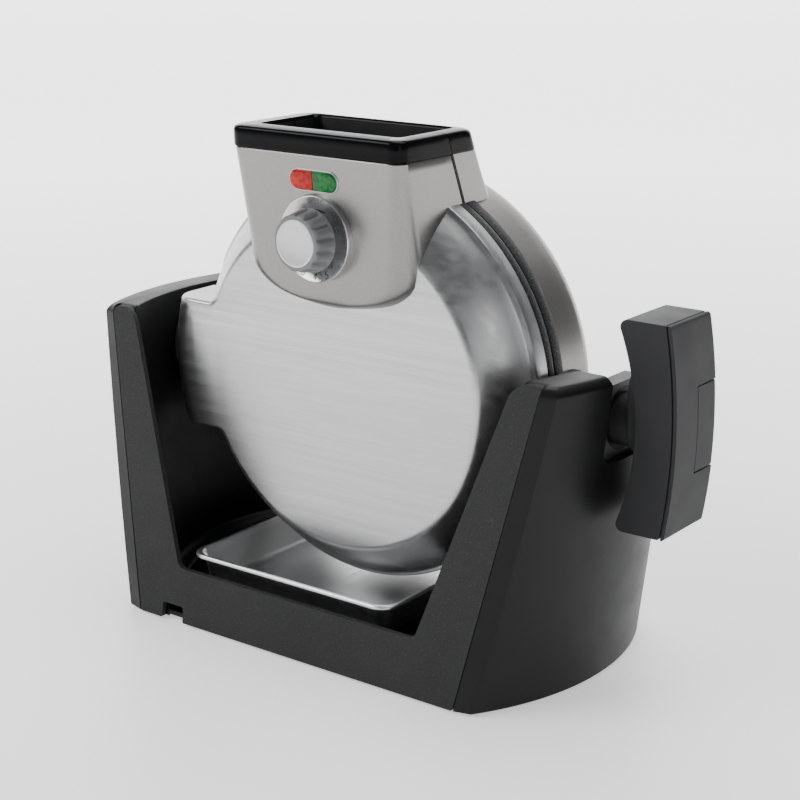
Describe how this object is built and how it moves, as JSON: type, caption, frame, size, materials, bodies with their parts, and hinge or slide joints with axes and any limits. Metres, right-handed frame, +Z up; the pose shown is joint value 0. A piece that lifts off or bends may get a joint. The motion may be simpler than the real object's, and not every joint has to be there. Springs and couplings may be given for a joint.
{
  "type": "flip waffle maker",
  "caption": "Round waffle maker whose two-part head turns over in a U-shaped base, with a side flip handle, browning dial, indicator lamps and drip tray.",
  "frame": {"origin": "middle of the base, on the surface it stands on", "axes": "+X towards the flip handle, +Y to the back, +Z up"},
  "size_m": [0.3705, 0.1771, 0.291],
  "materials": {
    "satin_black": "satin moulded plastic",
    "speckled_black": "fine speckled matte plastic",
    "dark_liner": "matte moulded plastic",
    "handle_black": "satin soft-touch plastic",
    "ring_black": "textured phenolic plastic",
    "gloss_black": "gloss moulded plastic",
    "brushed_steel": "brushed stainless steel",
    "box_silver": "warm silver metallic satin paint",
    "cast_plate": "non-stick coated cast plate",
    "tray_aluminium": "brushed aluminium",
    "bare_steel": "plain steel",
    "zinc_cast": "dark die casting",
    "bush_nylon": "black nylon bush",
    "chrome_trim": "polished chrome",
    "knob_grey": "metallic grey plastic",
    "knob_silver": "satin silver cap",
    "lens_red": "clear red plastic",
    "lens_green": "clear green plastic",
    "ceramic": "white ceramic",
    "board_green": "printed board",
    "rubber": "rubber"
  },
  "bodies": {
    "base": {"base_shell": "satin_black", "front_panel": "speckled_black", "well_liner": "dark_liner", "base_cover": "dark_liner", "rubber_feet": "rubber", "base_screws": "bare_steel", "left_bearing_block": "zinc_cast", "right_bearing_block": "zinc_cast", "left_bush": "bush_nylon", "right_bush": "bush_nylon", "cord_gland": "rubber", "terminal_block": "ceramic"},
    "tray": {"drip_tray": "tray_aluminium"},
    "head": {"rear_shell": "box_silver", "rear_ring": "ring_black", "rear_plate": "cast_plate", "rear_element": "bare_steel", "rear_heat_shield": "tray_aluminium", "rear_housing": "box_silver", "rear_bezel": "gloss_black", "rear_screws": "bare_steel", "hinge_yoke": "zinc_cast", "hinge_pin": "bare_steel", "left_trunnion": "zinc_cast", "right_hub": "zinc_cast", "flip_shaft": "handle_black", "thermal_cutout": "ceramic", "handle_inner": "handle_black", "handle_outer": "handle_black", "handle_screws": "bare_steel"},
    "lid": {"front_shell": "brushed_steel", "front_ring": "ring_black", "front_plate": "cast_plate", "front_element": "bare_steel", "front_heat_shield": "tray_aluminium", "control_housing": "box_silver", "front_bezel": "gloss_black", "dial_plate": "chrome_trim", "red_lens": "lens_red", "green_lens": "lens_green", "lens_bezel": "chrome_trim", "lamp_board": "board_green", "thermostat": "ceramic", "hinge_leaf": "zinc_cast", "lid_screws": "bare_steel"},
    "knob": {"knob": "knob_grey", "knob_cap": "knob_silver", "knob_shaft": "bare_steel"},
    "trigger": {"flip_trigger": "handle_black"},
    "latch": {"lid_latch": "gloss_black"}
  },
  "joints": [
    {"name": "flip", "type": "hinge", "parent": "base", "child": "head", "pos_m": [0, 0, 0.149], "axis": [-1, 0, 0], "range_deg": [-90, 90]},
    {"name": "lid_hinge", "type": "hinge", "parent": "head", "child": "lid", "pos_m": [-0.112, -0.027, 0.149], "axis": [0, 0, -1], "range_deg": [0, 18]},
    {"name": "browning_dial", "type": "hinge", "parent": "lid", "child": "knob", "pos_m": [0, -0.0543, 0.234], "axis": [0, -1, 0], "range_deg": [-135, 135]},
    {"name": "flip_release", "type": "slide", "parent": "head", "child": "trigger", "axis": [-1, 0, 0], "range_m": [0, 0.003], "stiffness_N_per_m": 600},
    {"name": "lid_latch_press", "type": "slide", "parent": "head", "child": "latch", "axis": [0, 0, -1], "range_m": [0, 0.0015], "stiffness_N_per_m": 600},
    {"name": "tray_lift", "type": "slide", "parent": "base", "child": "tray", "axis": [0, 0, 1], "range_m": [0, 0.002]}
  ]
}
